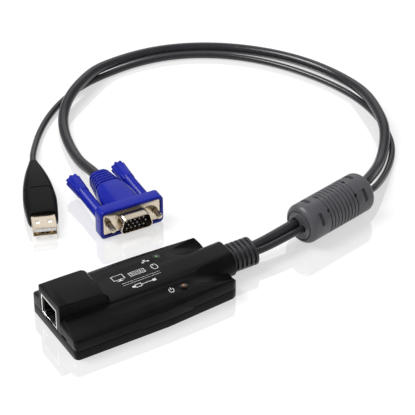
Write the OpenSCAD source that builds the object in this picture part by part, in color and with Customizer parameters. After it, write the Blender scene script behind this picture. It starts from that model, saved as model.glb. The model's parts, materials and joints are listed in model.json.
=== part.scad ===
// Adapter with a network socket at one end and two cords at the other, which run through
// one ferrite sleeve to a 15-pin video plug and a flat A-type plug.
// The origin is on the table under the middle of the housing. +X points from the socket
// to the cords, +Z points up.

/* [Housing] */
// Length of the housing, from the socket face to the tail
body_l = 88; // [86:1:96]
// Width of the housing over its front part
body_w = 44; // [43:1:50]
// Width of the housing at its tail
tail_w = 38; // [36:1:42]
// Height of the top cover along its crown
crown_h = 14; // [13.6:0.2:16]
// Height of the top cover at its long edges
side_h = 9.8; // [9:0.2:10.6]
// Height of the line where the two covers meet
split_h = 4.8; // [4.6:0.1:5.2]
// Thickness of the moulded walls
wall = 1.8; // [1.5:0.1:2]
// Width of the seam that shows between the covers
seam_gap = 0.35; // [0.2:0.05:0.5]
// Radius of the front corners, seen from above
nose_corner_r = 2.6; // [2.2:0.2:4]
// Radius of the tail corners, seen from above
tail_corner_r = 5; // [4:0.5:7]

/* [Network socket] */
// Width of the socket's shield
jack_w = 15.9; // [15:0.1:16.4]
// Height of the socket's shield
jack_h = 11.6; // [11:0.1:12.4]
// Depth of the socket's shield
jack_l = 21.3; // [19:0.1:22.5]
// How far the socket sits to the left of the middle
jack_y = 4.6; // [3:0.1:5]
// Height of the raised part over the socket
hump_h = 20.6; // [19.8:0.2:23]
// Width of the raised part
hump_w = 20.7; // [20.5:0.1:22]
// Length of the raised part
hump_l = 25.6; // [24.6:0.2:28]

/* [Strain relief] */
// How far the ribbed strain relief stands out of its neck
relief_l = 14; // [11:1:20]
// Number of ribs on the strain relief
relief_ribs = 5; // [3:1:6]
// Height of the strain relief
relief_h = 12.4; // [11.8:0.2:13.4]
// Width of the strain relief
relief_w = 15.4; // [15:0.2:17]

/* [Cords] */
// Diameter of the video cord
video_cord_d = 5.6; // [5:0.1:5.8]
// Diameter of the thin cord
usb_cord_d = 3.4; // [3:0.1:3.6]

/* [Ferrite] */
// Diameter of the ferrite's moulded sleeve
sleeve_d = 20.4; // [19.8:0.2:22]
// Length of the sleeve
sleeve_l = 44; // [42:1:48]
// Number of grooves round the sleeve
sleeve_grooves = 9; // [6:1:11]
// Direction in which the sleeve lies, seen from above
sleeve_turn = 12; // [8:1:16]

/* [Video plug] */
// Width of the plug's steel flange
flange_w = 30.8; // [30.4:0.1:31.2]
// Height of the flange
flange_h = 12.5; // [12:0.1:12.8]
// Distance between the two jackscrews
screw_pitch = 25; // [24.8:0.1:25.2]
// Length of the blue hood behind the flange
hood_l = 38; // [36:1:44]
// Diameter of the jackscrews
jackscrew_d = 2.84; // [2.6:0.02:3]
// Diameter of the fluted thumb grips
grip_d = 7.8; // [7:0.1:8]
// Direction in which the plug points, seen from above
video_turn = -93; // [-96:1:-90]

/* [A-type plug] */
// Width of the plug's shell
usb_w = 12; // [11.8:0.1:12.2]
// Height of the plug's shell
usb_h = 4.5; // [4.3:0.1:4.7]
// Length of the plug from the shell's mouth to its tail
usb_l = 59.6; // [56:0.2:64]
// Direction in which the plug points, seen from above
usb_turn = -111; // [-114:1:-108]

/* [Hidden] */
$fn = 48;

// Overrun of every cut past the face that it opens
cut = 0.5;
// Clearance between pieces that slip over each other
slip = 0.1;

// Colours, as the photograph shows them
black_plastic = "#232326";
grey_rubber = "#4c4c52";
blue_plastic = "#2a2fa8";
bright_steel = "#d8d8dc";
gold = "#d9b45a";
board_green = "#1f5a35";
chip_black = "#17171a";
cream_plastic = "#e6e1d2";

// Housing outline
neck_out = 4;
front_x = -(body_l + neck_out) / 2;
tail_x = front_x + body_l;
taper_start_share = 0.55;
taper_x = front_x + body_l * taper_start_share;
taper_a = atan((body_w - tail_w) / 2 / (tail_x - taper_x));
corner_least_r = 0.6;
arch_rise = crown_h - side_h;
arch_r = (pow(arch_rise, 2) + pow(body_w / 2, 2)) / (2 * arch_rise);
nose_roll_r = 3.8;
tail_roll_r = 3;

// Bevelled flanks at the tail
flank_l = 34;
flank_x = tail_x - flank_l;
flank_tilt = 22;
flank_skew = 5;

// Neck that leads to the strain relief
neck_r = 6.8;
neck_y = 3.1;
neck_z = 8;
neck_in = 22;
neck_tilt = 2.8;
valley_r = 8;
valley_y = 12.3;
valley_in = 19;
valley_tilt = 16.5;

// Tongue that keys the covers together, and the dip in their seam
tongue_t = 0.8;
tongue_h = 0.8;
dip_in = 54;
dip_x = tail_x - dip_in;
dip_l = 28;
dip_d = 0.9;
pry_slot = [1.2, 4.8, 1.1];
pry_slot_y = -13;

// Circuit board and what stands on it
board_t = 1.6;
board_gap = 0.5;
board_z = split_h - board_t;
board_tail_gap = 11;
board_end = tail_x - board_tail_gap;
controller_in = 48;
controller_y = -9;
controller_at = [tail_x - controller_in, controller_y];
video_chip_in = 35;
video_chip_y = 3;
video_chip_at = [tail_x - video_chip_in, video_chip_y];
crystal_y = 6;
crystal_at = [tail_x - controller_in, crystal_y];
capacitor_in = 35.5;
capacitor_x = tail_x - capacitor_in;
screw_d = 2.2;
screw_head_d = 4.4;
screw_head_h = 1.4;
screw_l = 8.6;
screw_spare = 0.6;
screw_gap = 0.3;
post_r = 2.5;
screw_inset = 5.2;
screw_nose_in = 7.5;
screw_nose_x = front_x + screw_nose_in;
screw_tail_in = 13;
screw_tail_x = tail_x - screw_tail_in;
screw_places = [for (s = [-1, 1])
    each [[screw_nose_x, s * (body_w / 2 - screw_inset)],
        [screw_tail_x, s * (tail_w / 2 - screw_inset)]]];
led_in = 26.7;
led_x = tail_x - led_in;
led_edge = 9.2;
led_y = body_w / 2 - led_edge;
led_r = 1.5;
led_h = 3.2;
led_rim_r = 1.9;
led_rim_h = 0.9;
pipe_r = 2;
pipe_rim_r = 2.7;
pipe_rim_h = 0.7;
pipe_collar_r = 3.4;
pipe_top_z = crown_h - arch_r + sqrt(pow(arch_r, 2) - pow(led_y, 2));
pipe_bottom_z = split_h + led_h + slip;

// Network socket
shield_t = 0.4;
shield_rim = 1.1;
jack_front_x = front_x + 0.2;
jack_z = split_h;
port_w = 11.9;
port_h = 6.8;
port_d = 14;
port_top = 2.2;
latch_w = 6.2;
latch_step_w = 8.4;
latch_step_h = 1.1;
latch_floor = 0.7;
jack_tab = [2.2, shield_t, 2.8];
hump_y = jack_y - 1.05;
hump_fall = 0.8;
hump_round_r = 5.2;
hump_edge_r = 1.2;

// Strain relief
relief_z = 7.4;
relief_r = relief_h / 2;
relief_y = (relief_w - relief_h) / 2;
relief_neck_r = relief_r - 2;
relief_start = tail_x + neck_out + slip;
relief_flange_t = 1.6;
relief_flange_r = relief_neck_r + 0.7;
cord_start = tail_x - wall - slip - relief_flange_t;
relief_base_t = 1.6;
relief_slot_w = 1.1;
relief_slot_depth = 1.5;
relief_spine_z = 3.6;
relief_spine_h = 1.8;

// Places of the two cords in the strain relief, and in the sleeve about its axis
video_exit = [2.1, 7.1];
usb_exit = [-2.9, 7.9];
video_lane = [2.4, 0.2];
usb_lane = [-2.7, -0.3];

// Ferrite
sleeve_c = [110, 6.5, sleeve_d / 2];
sleeve_wall = 1.6;
core_l = 28;
core_bore_r = 5.7;
sleeve_round_r = 3.2;
sleeve_disc_r = 7.2;
sleeve_ring_w = 0.7;
sleeve_ring_depth = 0.9;
groove_pitch = 2.3;
groove_w = 0.75;
groove_depth = 0.65;
window = [2.2, 6.8];
window_inset = 7;
pip = 1.7;
pip_inset = 12.6;
// Turn of the sleeve's crown about its axis, and of the windows and pips from the crown
crown_turn = 20;
window_turn = 40;
pip_turn = 28;

// Video plug. Its own axes start in the flange face, with +X towards the mate.
collar_edge = 1.65;
collar_w = flange_w + 2 * collar_edge;
collar_h = flange_h + 2 * collar_edge;
collar_l = 6;
collar_r = 2.4;
collar_lip = 0.5;
flange_t = 0.8;
flange_r = 1.6;
video_at = [23.8, 52.2, collar_h / 2];
shell_out = 5.9;
shell_t = 0.4;
shell_w = 16.9;
shell_h = 8.3;
shell_slope = 10;
shell_r = 2.2;
pin_r = 0.38;
pin_out = 5;
pin_pitch = 2.29;
pin_row = 1.98;
insulator_l = 4;
screw_out = 6.4;
screw_tip = 0.6;
screw_thread_l = 5.6;
screw_shank_d = jackscrew_d - 0.4;
stem_r = 3;
grip_l = 13;
stem_l = 23;
grip_neck_d = 6.6;
flutes = 8;
flute_r = 1.05;
hood_rings = 9;
hood_ribs = 5;
hood_rib_pitch = 2.3;
hood_rib_depth = 0.7;
// Places across one rib, from groove to groove, as shares of its pitch
hood_rib_shares = [0, 0.2, 0.45, 0.8];
hood_top_r = 7.1;
hood_base_half = 9.1;
hood_tail_half = 5.6;
hood_tail_r = 5.1;
cord_grip = 6;

// A-type plug. Its own axes start in the shell's mouth, with +X towards the mate.
usb_half_h = 4.6;
usb_at = [-16.2, 67.2, usb_half_h];
usb_shell_out = 11.8;
usb_shell_in = 6.6;
usb_shell_t = 0.3;
usb_window = [2.4, 2.2];
usb_window_x = 5.4;
usb_window_y = 3;
usb_cheek = 5;
usb_rings = 30;
usb_tongue_t = 1.9;
usb_contact_t = 0.25;
usb_contact_w = 1;
usb_contact_l = 7.6;
usb_pad = [9, 6.4, 0.35];
usb_seam_share = 0.53;
usb_groove = 0.3;
// Widths and heights of the plug's moulding along its length, as shares of its full size
usb_place_shares = [0, 0.12, 0.35, 0.53, 0.63, 0.72, 0.88, 0.96, 1];
usb_width_shares = [0.83, 0.91, 0.98, 0.9, 0.82, 0.71, 0.48, 0.34, 0.28];
usb_height_shares = [0.54, 0.84, 0.98, 1, 0.98, 0.92, 0.72, 0.56, 0.5];
usb_half_w = 8.5;

// Route of the video cord from the sleeve round to its plug, with the hump where it
// crosses the thin cord near each end of the loop
video_route = [[137.4, 16.2, 9.9], [144.7, 21.8, 8], [152.4, 28.1, 5.2], [160.3, 35.3, 3.7],
    [167.9, 43.4, 4.1], [173.9, 51, 5.7], [178, 58.3, 6.8], [180.8, 65.7, 7.1],
    [183.5, 74.3, 7.1], [185.9, 83.5, 7], [187.6, 93.8, 5.9], [188.4, 104.5, 4],
    [187.2, 117, 2.9], [182.5, 131.1, 2.9], [175.3, 144.7, 2.9], [165.9, 157.1, 2.9],
    [154.6, 168.5, 2.9], [141.6, 178.1, 2.9], [127.2, 185.4, 2.9], [111.8, 189.9, 2.9],
    [96.1, 190.5, 3.2], [83.1, 187.6, 4.6], [73.6, 183.6, 6.5], [65.9, 178.9, 7],
    [59.5, 174.7, 7.1], [53.1, 170.2, 6.9], [46.5, 164.9, 5.6], [40.7, 158.1, 3.8],
    [35.8, 149.4, 2.9], [31.7, 138.5, 2.9], [29, 127, 2.9], [26.9, 115.8, 4],
    [25.6, 105.9, 5.9]];
// Route of the thin cord from the sleeve round to its plug
usb_route = [[138.5, 10.7, 8.6], [145.9, 16.2, 6.3], [153.2, 22.3, 3.9], [159.7, 28.4, 2.2],
    [165.5, 33.9, 1.8], [171, 40.1, 1.8], [175.9, 47.6, 1.8], [179.5, 56.3, 1.8],
    [182.5, 65.9, 1.8], [184.4, 76.3, 1.8], [184.9, 86.6, 1.8], [184.1, 97.1, 1.8],
    [181.6, 108.3, 1.8], [178, 119.2, 1.8], [173.2, 130.7, 1.8], [166.9, 142.2, 1.8],
    [159.4, 153, 1.8], [150.8, 162.4, 1.8], [141.1, 170.4, 1.8], [130.2, 176.8, 1.8],
    [118.5, 181.4, 1.8], [106.1, 183.9, 1.8], [93.6, 184.3, 1.8], [81.5, 183.1, 1.8],
    [70, 181.3, 1.8], [59.3, 177.8, 1.8], [49.3, 173, 1.8], [39.9, 166.8, 1.8],
    [31.6, 159.9, 1.8], [24.6, 152.7, 1.8], [18.4, 145.3, 2], [13.3, 137.6, 2.9]];

// Unit vector along v
function along(v) = v / norm(v);

// Point (x, y, z) of a piece's own axes, turned by a and moved to p
function placed(p, a, v) = [p[0] + v[0] * cos(a) - v[1] * sin(a),
    p[1] + v[0] * sin(a) + v[1] * cos(a), p[2] + v[2]];

// Straight value between the entries of a table, at place t of a rising list of places
function table(places, values, t, i = 1) =
    i >= len(places) - 1 || t <= places[i]
        ? values[i - 1] + (values[i] - values[i - 1])
            * (t - places[i - 1]) / (places[i] - places[i - 1])
        : table(places, values, t, i + 1);

// Faces of a closed skin over rings of n points each
function skin_faces(rings, n) = concat(
    [[for (k = [0 : n - 1]) k]],
    [for (i = [0 : rings - 2], k = [0 : n - 1])
        [i * n + k, (i + 1) * n + k, (i + 1) * n + (k + 1) % n, i * n + (k + 1) % n]],
    [[for (k = [n - 1 : -1 : 0]) (rings - 1) * n + k]]);

// Round tube of diameter d with one ring of n points at each point of a route
module tube(route, d, n) {
    last = len(route) - 1;
    points = [for (i = [0 : last])
        let (t = along(route[min(i + 1, last)] - route[max(i - 1, 0)]),
            side = along(cross([0, 0, 1], t)),
            up = cross(t, side))
        for (k = [0 : n - 1])
            route[i] + d / 2 * (cos(360 * (k + 0.5) / n) * side
                + sin(360 * (k + 0.5) / n) * up)];
    polyhedron(points, skin_faces(last + 1, n), convexity = 8);
}

// Two round bars side by side, y to each side, joined across: an oblong bar along +X
module oblong_bar(r, y, l) {
    for (s = [-1, 1])
        translate([0, s * y, 0])
            rotate([0, 90, 0])
                cylinder(r = r, h = l);
    translate([0, -y, -r])
        cube([l, 2 * y, 2 * r]);
}

// Flat rectangle with rounded corners, centred
module rounded_rect(w, h, r) {
    square([w - 2 * r, h], center = true);
    square([w, h - 2 * r], center = true);
    for (i = [-1, 1], j = [-1, 1])
        translate([i * (w / 2 - r), j * (h / 2 - r)])
            circle(r);
}

// Housing seen from above, drawn in by inset: it narrows from taper_x on, and each corner
// circle touches the two lines that it joins
module plan_outline(inset) {
    nose_r = max(nose_corner_r - inset, corner_least_r);
    tail_r = max(tail_corner_r - inset, corner_least_r);
    half_w = body_w / 2 - inset;
    kink_x = taper_x - inset * tan(taper_a / 2);
    nose = [front_x + inset + nose_r, half_w - nose_r];
    tail = [tail_x - inset - tail_r,
        half_w + (sin(taper_a) * (kink_x - tail_x + inset + tail_r) - tail_r) / cos(taper_a)];
    side = [[front_x + inset, nose[1]], [nose[0], half_w], [kink_x, half_w],
        tail + tail_r * [sin(taper_a), cos(taper_a)], [tail_x - inset, tail[1]]];
    polygon(concat(side, [for (i = [len(side) - 1 : -1 : 0]) [side[i][0], -side[i][1]]]));
    for (s = [-1, 1]) {
        translate([nose[0], s * nose[1]])
            circle(nose_r);
        translate([tail[0], s * tail[1]])
            circle(tail_r);
    }
}

// Slab of the housing's outline between two heights
module plan_block(inset, z0, z1) {
    translate([0, 0, z0])
        linear_extrude(z1 - z0)
            plan_outline(inset);
}

// Flat side that bevels the tail's edge, as a block outside of it
module flank(side, inset) {
    mirror([0, side > 0 ? 1 : 0, 0])
        translate([flank_x, -body_w / 2, side_h])
            rotate([0, 0, flank_skew])
                rotate([-flank_tilt, 0, 0])
                    translate([-cut, inset - body_w, -body_w / 2])
                        cube([body_l, body_w, body_w]);
}

// Arched form of the housing, drawn in by inset
module body_form(inset) {
    difference() {
        intersection() {
            plan_block(inset, inset, crown_h);
            translate([front_x, 0, crown_h - arch_r])
                rotate([0, 90, 0])
                    cylinder(r = arch_r - inset, h = body_l, $fn = 180);
            rotate([90, 0, 0])
                linear_extrude(body_w, center = true) {
                    polygon([[front_x, 0], [front_x, crown_h - nose_roll_r],
                        [front_x + nose_roll_r, crown_h - inset],
                        [tail_x - tail_roll_r, crown_h - inset],
                        [tail_x, crown_h - tail_roll_r], [tail_x, 0]]);
                    translate([front_x + nose_roll_r, crown_h - nose_roll_r])
                        circle(nose_roll_r - inset);
                    translate([tail_x - tail_roll_r, crown_h - tail_roll_r])
                        circle(tail_roll_r - inset);
                }
        }
        for (s = [-1, 1])
            flank(s, inset);
    }
}

// Raised part over the socket: its side profile rounds down on to the cover, and its end
// profile has upright sides with rounded edges
module hump_form(inset) {
    top = hump_h - inset;
    end_x = front_x + hump_l - inset;
    round_r = hump_round_r - inset;
    round_z = top - hump_fall - round_r;
    half = hump_w / 2 - inset;
    edge_r = max(hump_edge_r - inset, slip);
    intersection() {
        translate([0, hump_y, 0])
            rotate([90, 0, 0])
                linear_extrude(hump_w, center = true) {
                    polygon([[front_x + (inset > 0 ? wall : 0), split_h],
                        [front_x + (inset > 0 ? wall : 0), top],
                        [end_x - round_r, top - hump_fall],
                        [end_x, round_z], [end_x, split_h]]);
                    translate([end_x - round_r, round_z])
                        circle(round_r);
                }
        translate([front_x, hump_y, 0])
            rotate([90, 0, 90])
                linear_extrude(hump_l) {
                    polygon([[-half, split_h], [-half, top - edge_r], [edge_r - half, top],
                        [half - edge_r, top], [half, top - edge_r], [half, split_h]]);
                    for (s = [-1, 1])
                        translate([s * (half - edge_r), top - edge_r])
                            circle(edge_r);
                }
    }
}

// Neck that fades out of the crown and carries the strain relief
module neck_form(inset) {
    intersection() {
        translate([tail_x, 0, neck_z])
            rotate([0, -neck_tilt, 0])
                translate([-neck_in, 0, 0])
                    oblong_bar(neck_r - inset, neck_y, neck_in + 2 * neck_out);
        translate([tail_x - neck_in + inset, -body_w / 2, 0])
            cube([neck_in + neck_out - 2 * inset, body_w, hump_h]);
    }
}

// Valleys on both sides of the neck, deepest at the tail, grown by outset
module valleys(outset) {
    for (s = [-1, 1])
        translate([tail_x - valley_in, s * valley_y, pipe_top_z + valley_r])
            rotate([0, 90 + valley_tilt, 0])
                cylinder(r = valley_r + outset, h = body_l, center = true, $fn = 90);
}

// Inside of the top cover at a depth under its surface, without the raised part and neck
module hollow(depth) {
    difference() {
        body_form(depth);
        valleys(depth);
    }
}

// Oblong hole in the neck for the strain relief
module relief_hole() {
    translate([tail_x - wall - cut, 0, relief_z])
        oblong_bar(relief_neck_r, relief_y, cut + wall + neck_out + cut);
}

// Band of the covers' outer edge where their seam dips
module seam_dip(z0, z1) {
    difference() {
        intersection() {
            plan_block(0, z0, z1);
            translate([dip_x, -body_w, z0])
                cube([dip_l, 2 * body_w, z1 - z0]);
        }
        plan_block(wall - tongue_t, z0 - cut, z1 + cut);
    }
}

module bottom_cover() {
    color(black_plastic)
        difference() {
            union() {
                difference() {
                    union() {
                        plan_block(0, 0, split_h);
                        intersection() {
                            neck_form(0);
                            cube([2 * body_l, body_w, 2 * split_h], center = true);
                        }
                    }
                    plan_block(wall, wall, split_h + cut);
                    seam_dip(split_h - dip_d, split_h + cut);
                }
                difference() {
                    plan_block(wall - tongue_t, split_h - cut, split_h + tongue_h);
                    plan_block(wall, split_h - 2 * cut, split_h + 2 * tongue_h);
                    translate([front_x - cut, jack_y - jack_w / 2 - slip, 0])
                        cube([wall + 2 * cut, jack_w + 2 * slip, hump_h]);
                }
                for (p = screw_places)
                    translate([p[0], p[1], wall / 2])
                        cylinder(r = post_r + wall / 2, h = board_z - wall / 2 - slip);
            }
            relief_hole();
            for (p = screw_places)
                translate([p[0], p[1], 0]) {
                    translate([0, 0, -cut])
                        cylinder(d = screw_d + screw_gap, h = split_h);
                    translate([0, 0, -cut])
                        cylinder(d = screw_head_d + screw_gap, h = screw_head_h + cut + slip);
                }
        }
}

module top_cover() {
    base_z = split_h + seam_gap;
    color(black_plastic)
        difference() {
            union() {
                difference() {
                    intersection() {
                        union() {
                            hollow(0);
                            hump_form(0);
                            neck_form(0);
                        }
                        translate([-body_l, -body_w, base_z])
                            cube([2 * body_l, 2 * body_w, hump_h]);
                    }
                    intersection() {
                        hollow(wall);
                        translate([-body_l, -body_w, split_h])
                            cube([2 * body_l, 2 * body_w, hump_h]);
                    }
                    hump_form(wall);
                    intersection() {
                        neck_form(wall);
                        translate([0, -body_w, 0])
                            cube([tail_x - wall, 2 * body_w, hump_h]);
                    }
                    plan_block(wall - tongue_t - slip, split_h - cut,
                        split_h + tongue_h + slip);
                }
                intersection() {
                    union() {
                        for (p = screw_places)
                            translate([p[0], p[1], base_z - seam_gap])
                                cylinder(r = post_r, h = crown_h);
                        for (s = [-1, 1])
                            translate([led_x, s * led_y,
                                    pipe_bottom_z + pipe_rim_h + slip])
                                cylinder(r = pipe_collar_r, h = crown_h);
                    }
                    hollow(wall / 2);
                }
                seam_dip(split_h - dip_d + seam_gap, base_z);
            }
            relief_hole();
            for (p = screw_places)
                translate([p[0], p[1], 0])
                    cylinder(d = screw_d + slip, h = screw_l + screw_spare);
            for (s = [-1, 1])
                translate([led_x, s * led_y, 0])
                    cylinder(r = pipe_r + slip, h = crown_h + cut);
            translate([front_x - cut, jack_y - jack_w / 2 - slip, split_h - cut])
                cube([jack_l + 2 * cut, jack_w + 2 * slip, jack_h + cut + slip]);
            translate([front_x - cut, pry_slot_y, base_z - cut])
                cube([pry_slot[0] + cut, pry_slot[1], pry_slot[2] + cut]);
        }
}

// Four self-cutting screws, with a cross recess in each head
module cover_screws() {
    recess = [0.5, 2.4, 0.8];
    color(bright_steel)
        for (p = screw_places)
            translate([p[0], p[1], 0])
                difference() {
                    union() {
                        cylinder(d = screw_head_d, h = screw_head_h);
                        cylinder(d = screw_d, h = screw_l);
                    }
                    for (a = [0, 90])
                        rotate([0, 0, a])
                            translate([-recess[0] / 2, -recess[1] / 2, -cut])
                                cube([recess[0], recess[1], recess[2] + cut]);
                }
}

module circuit_board() {
    color(board_green)
        difference() {
            intersection() {
                plan_block(wall + board_gap, board_z, split_h);
                translate([front_x, -body_w, 0])
                    cube([board_end - front_x, 2 * body_w, hump_h]);
            }
            for (p = screw_places)
                translate([p[0], p[1], 0])
                    cylinder(d = screw_d + screw_gap, h = hump_h);
            for (s = [-1, 1])
                translate([jack_front_x + jack_l / 2, jack_y + s * (jack_w - shield_t) / 2, 0])
                    cube([jack_tab[0] + 2 * slip, jack_tab[1] + 2 * slip, hump_h],
                        center = true);
        }
}

// Square chip with legs on four sides
module controller_chip() {
    side = 10;
    body_t = 1.4;
    lift = 0.15;
    legs = 11;
    leg = [1.1, 0.35, 0.5];
    pitch = 0.8;
    color(chip_black)
        translate([controller_at[0], controller_at[1], split_h]) {
            translate([-side / 2, -side / 2, lift])
                cube([side, side, body_t]);
            for (a = [0 : 90 : 270], i = [0 : legs - 1])
                rotate([0, 0, a])
                    translate([side / 2 - leg[2], (i - (legs - 1) / 2) * pitch - leg[1] / 2, 0])
                        cube([leg[0] + leg[2], leg[1], leg[2]]);
        }
}

// Long chip with legs on two sides
module video_chip() {
    size = [4, 10, 1.5];
    lift = 0.15;
    legs = 8;
    leg = [1, 0.4, 0.5];
    pitch = 1.25;
    color(chip_black)
        translate([video_chip_at[0], video_chip_at[1], split_h]) {
            translate([-size[0] / 2, -size[1] / 2, lift])
                cube(size);
            for (s = [-1, 1], i = [0 : legs - 1])
                translate([s * (size[0] + leg[0] - leg[2]) / 2,
                        (i - (legs - 1) / 2) * pitch, leg[2] / 2])
                    cube([leg[0] + leg[2], leg[1], leg[2]], center = true);
        }
}

// Low metal can of the crystal
module crystal() {
    can_r = 2.2;
    half = 3.1;
    can_h = 3.4;
    rim = 0.4;
    color(bright_steel)
        translate([crystal_at[0], crystal_at[1], split_h])
            rotate([0, -90, 0]) {
                oblong_bar(can_r + rim, half, rim);
                oblong_bar(can_r, half, can_h);
            }
}

// Two round capacitors on square feet
module capacitors() {
    can_r = 2.5;
    can_h = 4.4;
    foot = 5.3;
    foot_h = 0.8;
    edge_gap = 2.2;
    color(bright_steel)
        for (s = [-1, 1])
            translate([capacitor_x, s * (body_w / 2 - wall - board_gap - edge_gap - foot / 2),
                    split_h]) {
                translate([-foot / 2, -foot / 2, 0])
                    cube([foot, foot, foot_h]);
                cylinder(r = can_r, h = can_h);
            }
}

// Thin steel shell of the socket, open in front, with a rim that leaves the latch free
module jack_shield() {
    inner_w = jack_w - 2 * shield_t;
    inner_h = jack_h - 2 * shield_t;
    color(bright_steel)
        translate([jack_front_x, jack_y, jack_z]) {
            difference() {
                translate([0, -jack_w / 2, 0])
                    cube([jack_l, jack_w, jack_h]);
                translate([shield_t, -inner_w / 2, shield_t])
                    cube([jack_l - 2 * shield_t, inner_w, inner_h]);
                translate([-cut, shield_rim - jack_w / 2, shield_rim])
                    cube([2 * cut, jack_w - 2 * shield_rim, jack_h - 2 * shield_rim]);
                translate([-cut, -latch_w / 2, -cut])
                    cube([cut + shield_t, latch_w, shield_rim + 2 * cut]);
            }
            for (s = [-1, 1])
                translate([jack_l / 2, s * (jack_w - shield_t) / 2, shield_t / 2 - jack_tab[2] / 2])
                    cube(jack_tab, center = true);
        }
}

// Plastic block in the shell, with the port and its stepped latch channel
module jack_insert() {
    inner_w = jack_w - 2 * shield_t - 2 * slip;
    inner_h = jack_h - 2 * shield_t - 2 * slip;
    port_z = jack_h - port_top - port_h;
    color(chip_black)
        translate([jack_front_x, jack_y, jack_z])
            difference() {
                translate([shield_t + slip, -inner_w / 2, shield_t + slip])
                    cube([jack_l - 2 * shield_t - 2 * slip, inner_w, inner_h]);
                translate([-cut, -port_w / 2, port_z])
                    cube([port_d + cut, port_w, port_h]);
                translate([-cut, -latch_step_w / 2, port_z - latch_step_h])
                    cube([port_d / 2 + cut, latch_step_w, latch_step_h + cut]);
                translate([-cut, -latch_w / 2, latch_floor])
                    cube([port_d / 2 + cut, latch_w, port_z - latch_floor + cut]);
            }
}

// Eight sprung contacts that slope through the port
module jack_contacts() {
    count = 8;
    pitch = 1.02;
    contact_w = 0.5;
    contact_t = 0.35;
    root_z = jack_h - port_top - contact_t;
    tip_drop = 2.2;
    flat_l = 3;
    reach = port_d - 3;
    color(gold)
        for (i = [0 : count - 1])
            translate([jack_front_x + port_d, jack_y + (i - (count - 1) / 2) * pitch, jack_z])
                rotate([90, 0, 0])
                    linear_extrude(contact_w, center = true)
                        polygon([[0, root_z - tip_drop], [0, root_z - tip_drop + contact_t],
                            [flat_l - reach, root_z], [-reach, root_z],
                            [-reach, root_z - contact_t], [flat_l - reach, root_z - contact_t]]);
}

// Small round lamp on the board
module led(side, tint) {
    color(tint)
        translate([led_x, side * led_y, split_h]) {
            cylinder(r = led_rim_r, h = led_rim_h);
            cylinder(r = led_r, h = led_h - led_r);
            translate([0, 0, led_h - led_r])
                sphere(led_r);
        }
}

module online_led() {
    led(1, "#9fd8a4");
}

module power_led() {
    led(-1, "#e0902a");
}

// Clear pipe that carries a lamp's light up through the top cover, with a domed end
module light_pipe(side, tint) {
    dome_r = 3 * pipe_r;
    dome_h = 0.4;
    color(tint)
        translate([led_x, side * led_y, 0]) {
            translate([0, 0, pipe_bottom_z])
                cylinder(r = pipe_rim_r, h = pipe_rim_h);
            intersection() {
                translate([0, 0, pipe_bottom_z])
                    cylinder(r = pipe_r, h = crown_h);
                translate([0, 0, pipe_top_z + dome_h - dome_r])
                    sphere(dome_r);
            }
        }
}

module online_light_pipe() {
    light_pipe(1, "#3c5a3e");
}

module power_light_pipe() {
    light_pipe(-1, "#a05a2a");
}

// Header that a row of wires plugs into
module header(size, pins, at) {
    slot_w = 1.3;
    slot_h = 2.6;
    color(cream_plastic)
        translate([at[0], at[1], split_h])
            difference() {
                translate([-size[0] / 2, -size[1] / 2, 0])
                    cube(size);
                for (i = [0 : pins - 1])
                    translate([0, (i - (pins - 1) / 2) * header_pitch - slot_w / 2,
                            (size[2] - slot_h) / 2])
                        cube([size[0], slot_w, slot_h]);
            }
}

header_in = 19;
video_header_y = 4.9;
usb_header_y = -7.1;
video_header_at = [tail_x - header_in, video_header_y];
usb_header_at = [tail_x - header_in, usb_header_y];
header_size = [4.4, 13.2, 4.8];
usb_header_size = [4.4, 9.6, 4.8];
header_pitch = 2;
wire_r = 0.4;
wire_bunch = [0.62, 0.45];
wire_straight = 1;

module video_header() {
    header(header_size, 6, video_header_at);
}

module usb_header() {
    header(usb_header_size, 4, usb_header_at);
}

// Round wire through a list of points, with a ball in each bend
module wire(points) {
    for (i = [0 : len(points) - 2]) {
        d = points[i + 1] - points[i];
        translate(points[i])
            rotate([0, acos(d[2] / norm(d)), atan2(d[1], d[0])])
                cylinder(r = wire_r, h = norm(d), $fn = 16);
        if (i > 0)
            translate(points[i])
                sphere(wire_r, $fn = 16);
    }
}

// Wires that leave a header side by side and draw together at a cord's end
module wires(count, from, at) {
    for (i = [0 : count - 1]) {
        mid = i - (count - 1) / 2;
        a = [at[0] + slip, at[1] + mid * header_pitch, split_h + header_size[2] / 2];
        b = [cord_start - slip, from[0] + mid * wire_bunch[0],
            from[1] + (i % 2 == 0 ? 1 : -1) * wire_bunch[1]];
        wire([a, a + [header_size[0] / 2 + wire_straight, 0, 0], b - [wire_straight, 0, 0], b]);
    }
}

module video_wires() {
    color("#b43a34")
        wires(6, video_exit, video_header_at);
}

module usb_wires() {
    color("#dedede")
        wires(4, usb_exit, usb_header_at);
}

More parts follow.
